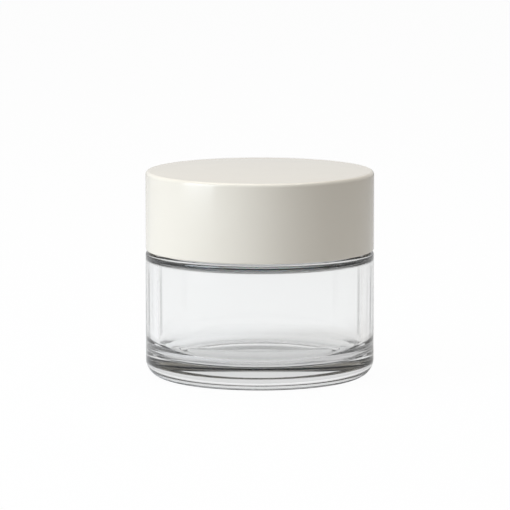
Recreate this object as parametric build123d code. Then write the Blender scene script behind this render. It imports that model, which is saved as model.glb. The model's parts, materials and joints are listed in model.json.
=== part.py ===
from build123d import *
import os
from math import cos, pi, radians, sin, tan

# Cosmetic cream jar: a thick clear glass jar with a threaded neck, a two-piece screw cap,
# the cap's foam liner, and a sealing disc with a finger tab in the mouth.
# Millimetres, +Z up, origin at the middle of the base, where the jar stands.

# ---- the whole jar ----
outer_diameter = 58.0          # the glass and the cap are flush
overall_height = 52.4
cap_height = 20.1
cap_gap = 0.4                  # daylight between the cap's lower edge and the glass shoulder

# ---- glass ----
glass_wall = 2.95
floor_thickness = 5.5          # glass at the middle of the floor, down to the bearing ring's level
floor_corner_radius = 5.0      # inside, where the floor turns up into the wall
heel_radius = 4.3              # outside, round the base
bearing_ring_width = 3.4       # the flat ring that the jar stands on, before its inner rounding
push_up_depth = 1.0            # how far the middle of the base is pushed up
push_up_slope = 2.2            # how far in from the ring its slope reaches
push_up_radius = 1.4
shoulder_thickness = 1.6
shoulder_edge_radius = 0.9
shoulder_inside_radius = 1.0   # the two curves that take the cavity in to the neck
neck_wall = 3.0
neck_foot_radius = 0.8
lip_radius = 0.7

# ---- thread, right-handed, one start ----
thread_pitch = 4.2
thread_turns = 1.25
thread_depth = 1.1
thread_fade_turns = 0.1        # each end runs out over this much of a turn
least_rise = 0.06              # share of the depth that is left at the very end
thread_below_lip = 2.7         # from the lip down to the middle of the thread's top end
flank_angle = 30.0
neck_thread_share = 0.36       # thread width at half depth, as a share of the pitch
cap_thread_share = 0.31
thread_clearance = 0.3
thread_root_bite = 0.4         # how far a thread is sunk into the wall that carries it
sections_per_turn = 20

# ---- outer cap shell ----
shell_wall = 2.0
shell_top = 1.8
shell_edge_radius = 1.0
shell_rim_radius = 0.35
shell_inside_radius = 0.6

# ---- inner threaded cap ----
insert_gap = 0.1               # all round, between the insert and the shell
insert_wall = 1.4
insert_top = 1.5
insert_recess = 0.7            # how far the insert stops short of the shell's lower edge
insert_edge_radius = 0.6
top_rib_height = 2.4
top_rib_width = 1.2
top_rib_count = 8
top_rib_margin = 2.0           # from a rib's outer end to the insert's edge
crush_rib_count = 24
crush_rib_width = 0.8
crush_rib_bite = 0.03          # interference of each crush rib with the shell
crush_rib_margin = 1.5         # plain wall above and below a crush rib
crush_rib_root = 0.3           # how far a crush rib is rooted in the insert's wall

# ---- liner and sealing disc ----
liner_thickness = 1.2
liner_clearance = 0.2
disc_flange = 0.8
disc_flange_margin = 0.4       # from the disc's edge to the outside of the glass lip
disc_web = 0.8
disc_plug_depth = 2.5
disc_plug_wall = 0.8
disc_fit = 0.1                 # all round, between the plug and the mouth
disc_recess = 1.4              # from the flange's top down to the web
disc_edge_radius = 0.25
tab_length = 15.0
tab_width = 9.0
tab_thickness = 0.7
tab_lift = 0.4                 # space for a fingernail under the tab
tab_root = 2.0                 # length of the tab's root, which stands on the web

# ---- worked out ----
outer_radius = outer_diameter / 2
cap_bottom = overall_height - cap_height
shoulder_top = cap_bottom - cap_gap
cavity_radius = outer_radius - glass_wall
cavity_top = shoulder_top - shoulder_thickness
shell_inner_radius = outer_radius - shell_wall
shell_underside = overall_height - shell_top
insert_radius = shell_inner_radius - insert_gap
insert_bore = insert_radius - insert_wall
insert_bottom = cap_bottom + insert_recess
insert_plate_top = shell_underside - top_rib_height
insert_underside = insert_plate_top - insert_top
liner_underside = insert_underside - liner_thickness
neck_top = liner_underside - disc_flange
neck_thread_radius = insert_bore - thread_clearance
neck_radius = neck_thread_radius - thread_depth
cap_thread_radius = neck_radius + thread_clearance
mouth_radius = neck_radius - neck_wall
pitch_line = (neck_radius + insert_bore) / 2
thread_rise = thread_pitch * thread_turns
neck_thread_start = neck_top - thread_below_lip - thread_rise
neck_thread_width = thread_pitch * neck_thread_share
cap_thread_width = thread_pitch * cap_thread_share
# the cap's thread runs just under the glass one, with the clearance between their flanks
thread_stagger = (neck_thread_width + cap_thread_width) / 2 + thread_clearance
cap_thread_start = neck_thread_start - thread_stagger
mouth_plug_radius = mouth_radius - disc_fit


def turned(corners):
    """Spin a half outline about the Z axis. Each corner is (radius, height, corner radius)."""
    points = [(radius, height) for radius, height, _ in corners]
    face = make_face(Polyline(*points, close=True))
    for radius, height, rounding in corners:
        if rounding:
            corner = face.vertices().sort_by_distance((radius, height, 0))[0]
            face = fillet(corner, rounding)
    return revolve(Plane.XZ * face, Axis.Z)


def thread(root, crest, mid_width, start):
    """A helical rib from root to crest radius, wide at its root, that runs out at both ends.

    The crest may lie outside the root, as on the neck, or inside it, as in the cap."""
    outward = 1 if crest > root else -1
    slope = 2 * tan(radians(flank_angle))
    foot = root - outward * thread_root_bite
    foot_width = mid_width + abs(pitch_line - foot) * slope
    crest_width = mid_width - abs(crest - pitch_line) * slope
    steps = round(sections_per_turn * thread_turns)
    profiles = []
    for step in range(steps + 1):
        turn = thread_turns * step / steps
        run_out = min(turn, thread_turns - turn) / thread_fade_turns
        rise = max(least_rise, min(1.0, run_out))
        narrow = (1 + rise) / 2
        tip = root + outward * abs(crest - root) * rise
        angle = 2 * pi * turn
        radial = Vector(cos(angle), sin(angle), 0)
        along = Vector(sin(angle), -cos(angle), 0)
        plane = Plane(origin=(0, 0, start + thread_pitch * turn), x_dir=radial, z_dir=along)
        half_foot = foot_width * narrow / 2
        half_crest = crest_width * narrow / 2
        outline = [(foot, -half_foot), (tip, -half_crest), (tip, half_crest), (foot, half_foot)]
        profiles.append(plane * make_face(Polyline(*outline, close=True)))
    return loft(profiles)


def glass_jar():
    """The glass: one turned solid with the thread on its neck."""
    ring_outer = outer_radius - heel_radius
    ring_inner = ring_outer - bearing_ring_width
    push_up_foot = ring_inner - push_up_slope
    glass = turned([
        (0, push_up_depth, 0),
        (push_up_foot, push_up_depth, push_up_radius),
        (ring_inner, 0, push_up_radius),
        (outer_radius, 0, heel_radius),
        (outer_radius, shoulder_top, shoulder_edge_radius),
        (neck_radius, shoulder_top, neck_foot_radius),
        (neck_radius, neck_top, lip_radius),
        (mouth_radius, neck_top, lip_radius),
        (mouth_radius, cavity_top, shoulder_inside_radius),
        (cavity_radius, cavity_top, shoulder_inside_radius),
        (cavity_radius, floor_thickness, floor_corner_radius),
        (0, floor_thickness, 0),
    ])
    rib = thread(neck_radius, neck_thread_radius, neck_thread_width, neck_thread_start)
    return glass + rib


def outer_cap_shell():
    """The smooth over-cap, a cup with a flat top, open downwards."""
    return turned([
        (0, shell_underside, 0),
        (shell_inner_radius, shell_underside, shell_inside_radius),
        (shell_inner_radius, cap_bottom, shell_rim_radius),
        (outer_radius, cap_bottom, shell_rim_radius),
        (outer_radius, overall_height, shell_edge_radius),
        (0, overall_height, 0),
    ])


def inner_threaded_cap():
    """The insert: a skirt with the thread inside, stiffening ribs on top and crush ribs round it."""
    insert = turned([
        (0, insert_underside, 0),
        (insert_bore, insert_underside, 0),
        (insert_bore, insert_bottom, 0),
        (insert_radius, insert_bottom, 0),
        (insert_radius, insert_plate_top, insert_edge_radius),
        (0, insert_plate_top, 0),
    ])
    insert += thread(insert_bore, cap_thread_radius, cap_thread_width, cap_thread_start)
    rib_length = insert_radius - top_rib_margin
    stand = Align.MIN
    top_rib = Pos(0, 0, insert_plate_top) * Box(
        rib_length, top_rib_width, top_rib_height, align=(stand, Align.CENTER, stand)
    )
    for index in range(top_rib_count):
        insert += Rot(0, 0, 360 * index / top_rib_count) * top_rib
    bead_low = insert_bottom + crush_rib_margin
    bead_length = insert_plate_top - crush_rib_margin - bead_low
    bead_reach = insert_gap + crush_rib_bite
    bead = Pos(insert_radius - crush_rib_root, 0, bead_low) * Box(
        crush_rib_root + bead_reach, crush_rib_width, bead_length, align=(stand, Align.CENTER, stand)
    )
    for index in range(crush_rib_count):
        insert += Rot(0, 0, 360 * index / crush_rib_count) * bead
    return insert


def cap_liner():
    """The foam wad that lies against the insert and seals on the disc."""
    radius = insert_bore - liner_clearance
    at_base = (Align.CENTER, Align.CENTER, Align.MIN)
    return Pos(0, 0, liner_underside) * Cylinder(radius, liner_thickness, align=at_base)


def sealing_disc():
    """The disc that plugs the mouth, dished in the middle, with a finger tab in the dish."""
    flange_top = neck_top + disc_flange
    flange_radius = neck_radius - disc_flange_margin
    plug_inside = mouth_plug_radius - disc_plug_wall
    web_top = flange_top - disc_recess
    disc = turned([
        (0, web_top - disc_web, 0),
        (plug_inside, web_top - disc_web, 0),
        (plug_inside, neck_top - disc_plug_depth, 0),
        (mouth_plug_radius, neck_top - disc_plug_depth, 0),
        (mouth_plug_radius, neck_top, 0),
        (flange_radius, neck_top, 0),
        (flange_radius, flange_top, disc_edge_radius),
        (plug_inside, flange_top, disc_edge_radius),
        (plug_inside, web_top, disc_edge_radius),
        (0, web_top, 0),
    ])
    on_web = (Align.CENTER, Align.CENTER, Align.MIN)
    plate = extrude(SlotOverall(tab_length, tab_width), tab_thickness)
    tab = Pos(0, 0, web_top + tab_lift) * plate
    root_place = (tab_root - tab_length) / 2 + tab_width / 4
    root = Pos(root_place, 0, web_top) * Box(tab_root, tab_width / 2, tab_lift, align=on_web)
    return disc + tab + root


PIECES = {
    "glass_jar": glass_jar,
    "outer_cap_shell": outer_cap_shell,
    "inner_threaded_cap": inner_threaded_cap,
    "cap_liner": cap_liner,
    "sealing_disc": sealing_disc,
}

os.makedirs("parts", exist_ok=True)
for name, make in PIECES.items():
    piece = make()
    piece.label = name
    export_step(piece, f"parts/{name}.step")
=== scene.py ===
import json
from math import acos, ceil, cos, pi, radians, sin, tan

import bpy
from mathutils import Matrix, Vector

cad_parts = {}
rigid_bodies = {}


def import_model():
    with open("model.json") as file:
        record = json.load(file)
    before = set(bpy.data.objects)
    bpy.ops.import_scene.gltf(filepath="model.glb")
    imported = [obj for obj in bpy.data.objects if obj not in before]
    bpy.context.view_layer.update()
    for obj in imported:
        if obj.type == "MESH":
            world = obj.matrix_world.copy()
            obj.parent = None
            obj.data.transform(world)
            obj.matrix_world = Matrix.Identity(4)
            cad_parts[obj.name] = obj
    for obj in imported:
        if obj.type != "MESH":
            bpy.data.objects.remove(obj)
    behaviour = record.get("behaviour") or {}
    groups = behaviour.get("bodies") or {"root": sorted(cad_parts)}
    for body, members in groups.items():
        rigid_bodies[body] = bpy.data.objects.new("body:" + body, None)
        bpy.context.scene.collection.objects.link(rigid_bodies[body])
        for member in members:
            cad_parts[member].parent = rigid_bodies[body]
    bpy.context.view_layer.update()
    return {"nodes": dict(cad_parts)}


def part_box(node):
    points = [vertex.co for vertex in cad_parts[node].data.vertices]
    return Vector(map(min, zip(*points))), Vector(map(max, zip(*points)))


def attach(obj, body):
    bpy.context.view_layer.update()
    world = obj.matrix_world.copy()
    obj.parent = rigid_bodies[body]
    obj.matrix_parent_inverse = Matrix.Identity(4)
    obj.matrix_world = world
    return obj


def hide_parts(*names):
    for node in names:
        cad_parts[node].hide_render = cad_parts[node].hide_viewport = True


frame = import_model()

# A clear glass cream jar under a smooth ivory screw cap. Metres.

MM = 0.001

# ---- taken from the frame ----
glass_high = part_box("glass_jar")[1]
shell_low, shell_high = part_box("outer_cap_shell")
outer_radius = (shell_high[0] - shell_low[0]) / 2
neck_top = glass_high[2]
cap_bottom = shell_low[2]
cap_top = shell_high[2]

# ---- the glass, at the sizes its solid has ----
cap_gap = 0.4 * MM
glass_wall = 2.95 * MM
floor_thickness = 5.5 * MM
floor_corner = 5.0 * MM
heel = 4.3 * MM
bearing_ring = 3.4 * MM
push_up = 1.0 * MM
push_up_slope = 2.2 * MM
push_up_round = 1.4 * MM
shoulder_thickness = 1.6 * MM
shoulder_edge = 0.9 * MM
shoulder_inside = 1.0 * MM
neck_wall = 3.0 * MM
neck_foot = 0.8 * MM
lip_round = 0.7 * MM
neck_radius = 24.1 * MM

# ---- the thread on the neck ----
thread_pitch = 4.2 * MM
thread_turns = 1.25
thread_depth = 1.1 * MM
thread_below_lip = 2.7 * MM
thread_half_crest = 0.5 * MM
thread_half_foot = 1.1 * MM
thread_fade = 0.1

# ---- the cap shell, at the sizes its solid has ----
shell_wall = 2.0 * MM
shell_top_wall = 1.8 * MM
shell_edge = 1.0 * MM
shell_rim = 0.35 * MM
shell_inside = 0.6 * MM

# ---- how finely the pieces are turned ----
SEGMENTS = 240
ARC_STEP = radians(7.5)
LEAST_ARC_STEPS = 3
FINE_STEP = 0.14 * MM          # along the neck, where the thread rises
FINE_STOP = 6                  # fine steps left out, where the next corner is rounded
THREAD_LAPS = 2                # how many times the thread may pass one place
THREAD_BLEND = 0.02            # how softly the thread leaves the neck, as a share of its depth
ON_NECK = 0.02 * MM            # how near the neck's radius an outline point has to be
WELD = 0.001 * MM

# ---- a Mix node's sockets ----
NUMBER_A, NUMBER_B = 2, 3
COLOUR_A, COLOUR_B = 6, 7
COLOUR_OUT = 2


def arithmetic(nodes, links):
    """A short way to add sums to a node tree."""
    def sum_of(operation, *values):
        node = nodes.new("ShaderNodeMath")
        node.operation = operation
        for socket, value in zip(node.inputs, values):
            if isinstance(value, (int, float)):
                socket.default_value = value
            else:
                links.new(value, socket)
        return node.outputs[0]
    return sum_of


def rounded(corners, fine=()):
    """The points of a half outline. Each corner is (radius, height, rounding).

    fine holds the numbers of the corners whose next straight stretch is cut up finely."""
    points = []
    last = len(corners) - 1
    for number, (r, z, rounding) in enumerate(corners):
        here = Vector((r, z))
        if rounding and 0 < number < last:
            to_before = (Vector(corners[number - 1][:2]) - here).normalized()
            to_after = (Vector(corners[number + 1][:2]) - here).normalized()
            half = acos(max(-1, min(1, to_before.dot(to_after)))) / 2
            reach = rounding / tan(half)
            centre = here + (to_before + to_after).normalized() * rounding / sin(half)
            start = here + to_before * reach - centre
            sweep = start.angle_signed(here + to_after * reach - centre)
            steps = max(LEAST_ARC_STEPS, ceil(abs(sweep) / ARC_STEP))
            for step in range(steps + 1):
                turn = -sweep * step / steps
                offset = Vector((
                    start.x * cos(turn) - start.y * sin(turn),
                    start.x * sin(turn) + start.y * cos(turn),
                ))
                points.append(centre + offset)
        else:
            points.append(here)
        if number in fine:
            end = Vector(corners[number + 1][:2])
            begin = points[-1]
            steps = int((end - begin).length / FINE_STEP)
            points += [begin.lerp(end, step / steps) for step in range(1, steps - FINE_STOP)]
    return points


class Tree:
    """A Geometry Nodes tree with short ways to add sums."""

    def __init__(self, name):
        self.tree = bpy.data.node_groups.new(name, "GeometryNodeTree")
        self.sum = arithmetic(self.tree.nodes, self.tree.links)
        self.ids = {}
        for side in ("OUTPUT", "INPUT"):
            self.socket("Geometry", "NodeSocketGeometry", side)

    def socket(self, name, kind, side="INPUT"):
        made = self.tree.interface.new_socket(name, in_out=side, socket_type=kind)
        if side == "INPUT":
            self.ids[name] = made.identifier
        return made

    def size(self, name, kind, value):
        self.socket(name, kind).default_value = value

    def node(self, kind, **settings):
        made = self.tree.nodes.new(kind)
        for key, value in settings.items():
            setattr(made, key, value)
        return made

    def join(self, source, target):
        self.tree.links.new(source, target)


def turned_tree():
    """Spins an outline about Z, and raises a one-start thread where the outline is the neck."""
    t = Tree("turned_piece")
    t.size("Segments", "NodeSocketInt", SEGMENTS)
    t.size("Outline points", "NodeSocketInt", 2)
    t.size("Thread depth", "NodeSocketFloat", 0.0)
    t.size("Thread pitch", "NodeSocketFloat", thread_pitch)
    t.size("Thread turns", "NodeSocketFloat", thread_turns)
    t.size("Thread start", "NodeSocketFloat", 0.0)
    t.size("Thread foot", "NodeSocketFloat", thread_half_foot)
    t.size("Thread crest", "NodeSocketFloat", thread_half_crest)
    t.size("Thread fade", "NodeSocketFloat", thread_fade)
    t.size("Neck radius", "NodeSocketFloat", 1.0)
    t.socket("Material", "NodeSocketMaterial")
    inputs = t.node("NodeGroupInput").outputs
    outline = inputs["Geometry"]
    grid = t.node("GeometryNodeMeshGrid")
    t.join(t.sum("ADD", inputs["Segments"], 1), grid.inputs["Vertices X"])
    t.join(inputs["Outline points"], grid.inputs["Vertices Y"])
    place = t.node("ShaderNodeSeparateXYZ")
    t.join(t.node("GeometryNodeInputPosition").outputs[0], place.inputs[0])
    along = t.sum("ADD", place.outputs["X"], 0.5)
    across = t.sum("ADD", place.outputs["Y"], 0.5)
    last_point = t.sum("SUBTRACT", inputs["Outline points"], 1)
    number = t.sum("ROUND", t.sum("MULTIPLY", across, last_point))
    sample = t.node("GeometryNodeSampleIndex", data_type="FLOAT_VECTOR", domain="POINT")
    t.join(outline, sample.inputs["Geometry"])
    t.join(t.node("GeometryNodeInputPosition").outputs[0], sample.inputs["Value"])
    t.join(number, sample.inputs["Index"])
    point = t.node("ShaderNodeSeparateXYZ")
    t.join(sample.outputs[0], point.inputs[0])
    radius, height = point.outputs["X"], point.outputs["Z"]
    rise = None
    for lap in range(THREAD_LAPS):
        turn = t.sum("ADD", along, lap)
        middle = t.sum("MULTIPLY_ADD", turn, inputs["Thread pitch"], inputs["Thread start"])
        off = t.sum("ABSOLUTE", t.sum("SUBTRACT", height, middle))
        slope = t.sum("SUBTRACT", inputs["Thread foot"], inputs["Thread crest"])
        flank = t.sum("DIVIDE", t.sum("SUBTRACT", inputs["Thread foot"], off), slope)
        end = t.sum("MINIMUM", turn, t.sum("SUBTRACT", inputs["Thread turns"], turn))
        fade = t.sum("DIVIDE", end, inputs["Thread fade"])
        least = t.sum("MINIMUM", t.sum("MINIMUM", flank, 1.0), t.sum("MINIMUM", fade, 1.0))
        bump = t.sum("SMOOTH_MAX", least, 0.0, THREAD_BLEND)
        rise = bump if rise is None else t.sum("MAXIMUM", rise, bump)
    on_neck = t.sum("COMPARE", radius, inputs["Neck radius"], ON_NECK)
    raised = t.sum("MULTIPLY", t.sum("MULTIPLY", rise, inputs["Thread depth"]), on_neck)
    radius = t.sum("ADD", radius, raised)
    angle = t.sum("MULTIPLY", along, 2 * pi)
    spun = t.node("ShaderNodeCombineXYZ")
    t.join(t.sum("MULTIPLY", radius, t.sum("COSINE", angle)), spun.inputs["X"])
    t.join(t.sum("MULTIPLY", radius, t.sum("SINE", angle)), spun.inputs["Y"])
    t.join(height, spun.inputs["Z"])
    move = t.node("GeometryNodeSetPosition")
    t.join(grid.outputs["Mesh"], move.inputs["Geometry"])
    t.join(spun.outputs[0], move.inputs["Position"])
    merge = t.node("GeometryNodeMergeByDistance")
    merge.inputs["Distance"].default_value = WELD
    t.join(move.outputs[0], merge.inputs["Geometry"])
    smooth = t.node("GeometryNodeSetShadeSmooth")
    t.join(merge.outputs[0], smooth.inputs["Geometry"])
    real = t.node("GeometryNodeRealizeInstances")
    t.join(smooth.outputs[0], real.inputs[0])
    paint = t.node("GeometryNodeSetMaterial")
    t.join(real.outputs[0], paint.inputs["Geometry"])
    t.join(inputs["Material"], paint.inputs["Material"])
    out = t.node("NodeGroupOutput")
    t.join(paint.outputs[0], out.inputs[0])
    return t


def turned(name, points, tree, material, **sizes):
    """A plain mesh of the outline spun about Z, as its own object at the origin."""
    line = bpy.data.meshes.new(name + "_outline")
    line.from_pydata([(p.x, 0, p.y) for p in points], [], [])
    maker = bpy.data.objects.new(name + "_maker", line)
    bpy.context.collection.objects.link(maker)
    modifier = maker.modifiers.new("turned", "NODES")
    modifier.node_group = tree.tree
    modifier[tree.ids["Outline points"]] = len(points)
    modifier[tree.ids["Material"]] = material
    for size, value in sizes.items():
        modifier[tree.ids[size.replace("_", " ")]] = value
    finished = maker.evaluated_get(bpy.context.evaluated_depsgraph_get())
    made = bpy.data.meshes.new_from_object(finished)
    bpy.data.objects.remove(maker)
    made.name = name
    piece = bpy.data.objects.new(name, made)
    bpy.context.collection.objects.link(piece)
    return piece


# ---- materials ----

GLASS_IOR = 1.5
PLASTIC_IOR = 1.5


def plain_material(name):
    material = bpy.data.materials.new(name)
    material.use_nodes = True
    nodes = material.node_tree.nodes
    return material, nodes, material.node_tree.links, nodes["Principled BSDF"]


def grain(material, scale, detail=3.0, kind="ShaderNodeTexNoise"):
    """A noise on the piece's own Object coordinates."""
    nodes, links = material.node_tree.nodes, material.node_tree.links
    where = nodes.new("ShaderNodeTexCoord")
    texture = nodes.new(kind)
    texture.inputs["Scale"].default_value = scale
    if kind == "ShaderNodeTexNoise":
        texture.inputs["Detail"].default_value = detail
    links.new(where.outputs["Object"], texture.inputs["Vector"])
    return texture


def tone(material, texture, output, low, high, target):
    """Runs a texture's output between two values or colours into a socket."""
    nodes, links = material.node_tree.nodes, material.node_tree.links
    if isinstance(low, tuple):
        mix = nodes.new("ShaderNodeMix")
        mix.data_type = "RGBA"
        mix.inputs[COLOUR_A].default_value = (*low, 1)
        mix.inputs[COLOUR_B].default_value = (*high, 1)
        links.new(texture.outputs[output], mix.inputs[0])
        links.new(mix.outputs[COLOUR_OUT], target)
    else:
        span = nodes.new("ShaderNodeMapRange")
        span.inputs["To Min"].default_value = low
        span.inputs["To Max"].default_value = high
        links.new(texture.outputs[output], span.inputs["Value"])
        links.new(span.outputs[0], target)


def bumps(material, texture, output, strength, distance, target):
    nodes, links = material.node_tree.nodes, material.node_tree.links
    bump = nodes.new("ShaderNodeBump")
    bump.inputs["Strength"].default_value = strength
    bump.inputs["Distance"].default_value = distance
    links.new(texture.outputs[output], bump.inputs["Height"])
    links.new(bump.outputs["Normal"], target)


def clear_glass():
    material, _, _, shader = plain_material("clear_glass")
    shader.inputs["Transmission Weight"].default_value = 1.0
    shader.inputs["IOR"].default_value = GLASS_IOR
    shader.inputs["Roughness"].default_value = 0.0
    tone(
        material, grain(material, scale=40.0), "Fac",
        low=(0.985, 0.99, 0.988), high=(0.995, 0.997, 0.996), target=shader.inputs["Base Color"],
    )
    bumps(
        material, grain(material, scale=55.0, detail=1.0), "Fac",
        strength=0.01, distance=0.2 * MM, target=shader.inputs["Normal"],
    )
    return material


def ivory_plastic():
    material, _, _, shader = plain_material("ivory_plastic")
    shader.inputs["IOR"].default_value = PLASTIC_IOR
    tone(
        material, grain(material, scale=30.0), "Fac",
        low=(0.75, 0.697, 0.605), high=(0.77, 0.718, 0.628), target=shader.inputs["Base Color"],
    )
    tone(
        material, grain(material, scale=120.0), "Fac",
        low=0.1, high=0.14, target=shader.inputs["Roughness"],
    )
    bumps(
        material, grain(material, scale=900.0, detail=1.0), "Fac",
        strength=0.03, distance=0.03 * MM, target=shader.inputs["Normal"],
    )
    return material


def moulded_white():
    material, _, _, shader = plain_material("moulded_white")
    tone(
        material, grain(material, scale=60.0), "Fac",
        low=(0.80, 0.80, 0.79), high=(0.86, 0.86, 0.85), target=shader.inputs["Base Color"],
    )
    tone(
        material, grain(material, scale=300.0), "Fac",
        low=0.38, high=0.5, target=shader.inputs["Roughness"],
    )
    bumps(
        material, grain(material, scale=2500.0), "Fac",
        strength=0.1, distance=0.05 * MM, target=shader.inputs["Normal"],
    )
    return material


def foam():
    material, _, _, shader = plain_material("foam")
    cells = grain(material, scale=2200.0, kind="ShaderNodeTexVoronoi")
    tone(
        material, cells, "Distance",
        low=(0.78, 0.78, 0.765), high=(0.87, 0.87, 0.86), target=shader.inputs["Base Color"],
    )
    shader.inputs["Roughness"].default_value = 0.75
    bumps(
        material, cells, "Distance",
        strength=0.4, distance=0.1 * MM, target=shader.inputs["Normal"],
    )
    return material


def soft_disc():
    material, _, _, shader = plain_material("soft_disc")
    shader.inputs["Subsurface Weight"].default_value = 0.3
    shader.inputs["Subsurface Scale"].default_value = 2 * MM
    tone(
        material, grain(material, scale=80.0), "Fac",
        low=(0.82, 0.83, 0.84), high=(0.87, 0.88, 0.89), target=shader.inputs["Base Color"],
    )
    tone(
        material, grain(material, scale=400.0), "Fac",
        low=0.3, high=0.42, target=shader.inputs["Roughness"],
    )
    return material


# ---- the pieces ----

def glass_outline():
    shoulder_top = cap_bottom - cap_gap
    cavity = outer_radius - glass_wall
    cavity_top = shoulder_top - shoulder_thickness
    ring_inner = outer_radius - heel - bearing_ring
    mouth = neck_radius - neck_wall
    corners = [
        (0, push_up, 0),
        (ring_inner - push_up_slope, push_up, push_up_round),
        (ring_inner, 0, push_up_round),
        (outer_radius, 0, heel),
        (outer_radius, shoulder_top, shoulder_edge),
        (neck_radius, shoulder_top, neck_foot),
        (neck_radius, neck_top, lip_round),
        (mouth, neck_top, lip_round),
        (mouth, cavity_top, shoulder_inside),
        (cavity, cavity_top, shoulder_inside),
        (cavity, floor_thickness, floor_corner),
        (0, floor_thickness, 0),
    ]
    return rounded(corners, fine=(5,))


def shell_outline():
    inner = outer_radius - shell_wall
    underside = cap_top - shell_top_wall
    corners = [
        (0, underside, 0),
        (inner, underside, shell_inside),
        (inner, cap_bottom, shell_rim),
        (outer_radius, cap_bottom, shell_rim),
        (outer_radius, cap_top, shell_edge),
        (0, cap_top, 0),
    ]
    return rounded(corners)


tree = turned_tree()
jar = turned(
    "clear_jar", glass_outline(), tree, clear_glass(),
    Thread_depth=thread_depth,
    Thread_start=neck_top - thread_below_lip - thread_pitch * thread_turns,
    Neck_radius=neck_radius,
)
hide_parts("glass_jar")
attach(jar, "jar")

shell = turned("ivory_cap", shell_outline(), tree, ivory_plastic())
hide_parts("outer_cap_shell")
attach(shell, "cap")

for node, make in (
    ("inner_threaded_cap", moulded_white), ("cap_liner", foam), ("sealing_disc", soft_disc),
):
    mesh = frame["nodes"][node].data
    mesh.materials.clear()
    mesh.materials.append(make())


# ---- the stage: white floor and world, soft light ----

FLOOR_HALF = 6.0
FLOOR_WHITE = 0.8
FLOOR_ROUGHNESS = 0.9
CAMERA_GLOW = 0.97             # how much of the floor's white it gives by itself
GLASS_GLOW = 0.45              # the same, where it is seen through glass


def floor():
    mesh = bpy.data.meshes.new("floor")
    signs = ((-1, -1), (1, -1), (1, 1), (-1, 1))
    mesh.from_pydata([(x * FLOOR_HALF, y * FLOOR_HALF, 0) for x, y in signs], [], [(0, 1, 2, 3)])
    piece = bpy.data.objects.new("floor", mesh)
    bpy.context.collection.objects.link(piece)
    material, nodes, links, shader = plain_material("floor_white")
    shader.inputs["Base Color"].default_value = (FLOOR_WHITE, FLOOR_WHITE, FLOOR_WHITE, 1)
    shader.inputs["Roughness"].default_value = FLOOR_ROUGHNESS
    glow = nodes.new("ShaderNodeEmission")
    glow.inputs["Strength"].default_value = 1.0
    ray = nodes.new("ShaderNodeLightPath")
    share = nodes.new("ShaderNodeMix")
    share.inputs[NUMBER_A].default_value = 0.0
    share.inputs[NUMBER_B].default_value = CAMERA_GLOW
    links.new(ray.outputs["Is Camera Ray"], share.inputs[0])
    sum_of = arithmetic(nodes, links)
    through = sum_of("MULTIPLY_ADD", ray.outputs["Is Transmission Ray"], GLASS_GLOW, share.outputs[0])
    blend = nodes.new("ShaderNodeMixShader")
    links.new(through, blend.inputs[0])
    links.new(shader.outputs[0], blend.inputs[1])
    links.new(glow.outputs[0], blend.inputs[2])
    links.new(blend.outputs[0], nodes["Material Output"].inputs["Surface"])
    mesh.materials.append(material)


AMBIENT = 0.22                 # the world as light
THROUGH = 0.9                  # the world where glass or gloss shows it


def world():
    """White to look at, and dimmer as light."""
    made = bpy.data.worlds.new("studio")
    bpy.context.scene.world = made
    made.use_nodes = True
    nodes, links = made.node_tree.nodes, made.node_tree.links
    nodes.clear()

    ray = nodes.new("ShaderNodeLightPath")
    sum_of = arithmetic(nodes, links)
    through = sum_of("MAXIMUM", ray.outputs["Is Transmission Ray"], ray.outputs["Is Glossy Ray"])
    indirect = nodes.new("ShaderNodeMix")
    indirect.inputs[NUMBER_A].default_value = AMBIENT
    indirect.inputs[NUMBER_B].default_value = THROUGH
    links.new(through, indirect.inputs[0])
    level = nodes.new("ShaderNodeMix")
    level.inputs[NUMBER_B].default_value = 1.0
    links.new(ray.outputs["Is Camera Ray"], level.inputs[0])
    links.new(indirect.outputs[0], level.inputs[NUMBER_A])
    back = nodes.new("ShaderNodeBackground")
    links.new(level.outputs[0], back.inputs["Strength"])
    out = nodes.new("ShaderNodeOutputWorld")
    links.new(back.outputs[0], out.inputs[0])


LIGHTS_AIM = (0, 0, 0.03)


def soft_light(name, place, size, power, tint):
    lamp = bpy.data.lights.new(name, "AREA")
    lamp.shape = "RECTANGLE"
    lamp.size, lamp.size_y = size
    lamp.energy = power
    lamp.color = tint
    lit = bpy.data.objects.new(name, lamp)
    bpy.context.collection.objects.link(lit)
    lit.location = place
    lit.rotation_euler = (Vector(LIGHTS_AIM) - Vector(place)).to_track_quat("-Z", "Y").to_euler()
    lit.visible_camera = False
    lit.visible_transmission = False


FLAG_DISTANCE = 0.045          # two soft grey cards behind the jar, which only glass shows
FLAG_MIDDLE = 56.0             # degrees either side of straight behind
FLAG_HALF = 4.0
FLAG_STEPS = 8
FLAG_EDGE = 0.5                # the share of its half width over which a card fades
FLAG_HEIGHT = 0.028
FLAG_FADE = 0.008              # height over which a card fades at its foot and its top
FLAG_SHADE = 0.4


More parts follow.
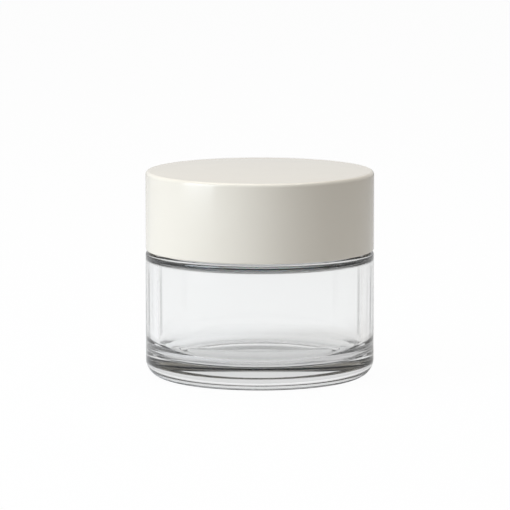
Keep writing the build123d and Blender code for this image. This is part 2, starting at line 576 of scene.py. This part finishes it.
def flags():
    """Two cards that draw the thin grey lines inside the edges of the glass."""
    verts, faces = [], []
    for side in (-1, 1):
        for step in range(FLAG_STEPS + 1):
            bearing = radians(90 + side * FLAG_MIDDLE + FLAG_HALF * (2 * step / FLAG_STEPS - 1))
            for height in (0, FLAG_HEIGHT):
                verts.append((FLAG_DISTANCE * cos(bearing), FLAG_DISTANCE * sin(bearing), height))
            if step:
                last = len(verts)
                faces.append((last - 4, last - 3, last - 1, last - 2))
    mesh = bpy.data.meshes.new("flags")
    mesh.from_pydata(verts, [], faces)
    piece = bpy.data.objects.new("flags", mesh)
    bpy.context.collection.objects.link(piece)
    material, nodes, links, _ = plain_material("flag_grey")
    sum_of = arithmetic(nodes, links)
    parts = nodes.new("ShaderNodeSeparateXYZ")
    links.new(nodes.new("ShaderNodeTexCoord").outputs["Object"], parts.inputs[0])
    bearing = sum_of("ARCTAN2", sum_of("ABSOLUTE", parts.outputs["X"]), parts.outputs["Y"])
    off = sum_of("DIVIDE", sum_of("SUBTRACT", bearing, radians(FLAG_MIDDLE)), radians(FLAG_HALF))
    beside = sum_of("SUBTRACT", 1.0, sum_of("ABSOLUTE", off))
    below = sum_of("DIVIDE", sum_of("SUBTRACT", FLAG_HEIGHT, parts.outputs["Z"]), FLAG_FADE)
    above = sum_of("DIVIDE", parts.outputs["Z"], FLAG_FADE)
    dense = sum_of("MINIMUM", sum_of("DIVIDE", beside, FLAG_EDGE), below)
    dense = sum_of("MINIMUM", dense, above)
    limit = nodes.new("ShaderNodeClamp")
    links.new(dense, limit.inputs[0])
    glow = nodes.new("ShaderNodeEmission")
    glow.inputs["Strength"].default_value = FLAG_SHADE
    blend = nodes.new("ShaderNodeMixShader")
    links.new(limit.outputs[0], blend.inputs[0])
    links.new(nodes.new("ShaderNodeBsdfTransparent").outputs[0], blend.inputs[1])
    links.new(glow.outputs[0], blend.inputs[2])
    links.new(blend.outputs[0], nodes["Material Output"].inputs["Surface"])
    mesh.materials.append(material)
    piece.visible_camera = False
    piece.visible_diffuse = False
    piece.visible_glossy = False
    piece.visible_shadow = False


floor()
flags()
world()
soft_light("key", place=(-0.60, -0.30, 0.28), size=(0.45, 0.6), power=4.5, tint=(0.83, 0.91, 1.0))
soft_light("top", place=(0, 0.05, 0.8), size=(0.8, 0.8), power=5.4, tint=(1.0, 0.985, 0.96))


# ---- the camera ----

CAMERA_RADII = 40.0            # how far off it stands, in jar radii
CAMERA_PITCH = 0.137
LENS = 321.9
SENSOR = 36.0
AIM_HEIGHT = 0.88              # in jar radii
SIDE_STEP = -0.0418            # the camera's own sideways and upward steps, in jar radii
UP_STEP = 0.177
CLIP_NEAR = 0.05
CLIP_FAR = 50.0


def camera():
    made = bpy.data.cameras.new("camera")
    made.lens = LENS
    made.sensor_width = SENSOR
    made.clip_start = CLIP_NEAR
    made.clip_end = CLIP_FAR
    eye = bpy.data.objects.new("camera", made)
    bpy.context.collection.objects.link(eye)
    back = Vector((0, -cos(CAMERA_PITCH), sin(CAMERA_PITCH)))
    up = Vector((0, sin(CAMERA_PITCH), cos(CAMERA_PITCH)))
    aim = Vector((0, 0, AIM_HEIGHT * outer_radius))
    side = Vector((SIDE_STEP, 0, 0))
    eye.location = aim + outer_radius * (back * CAMERA_RADII + up * UP_STEP + side)
    eye.rotation_euler = (pi / 2 - CAMERA_PITCH, 0, 0)
    bpy.context.scene.camera = eye


camera()
bpy.context.scene.view_settings.view_transform = "Standard"
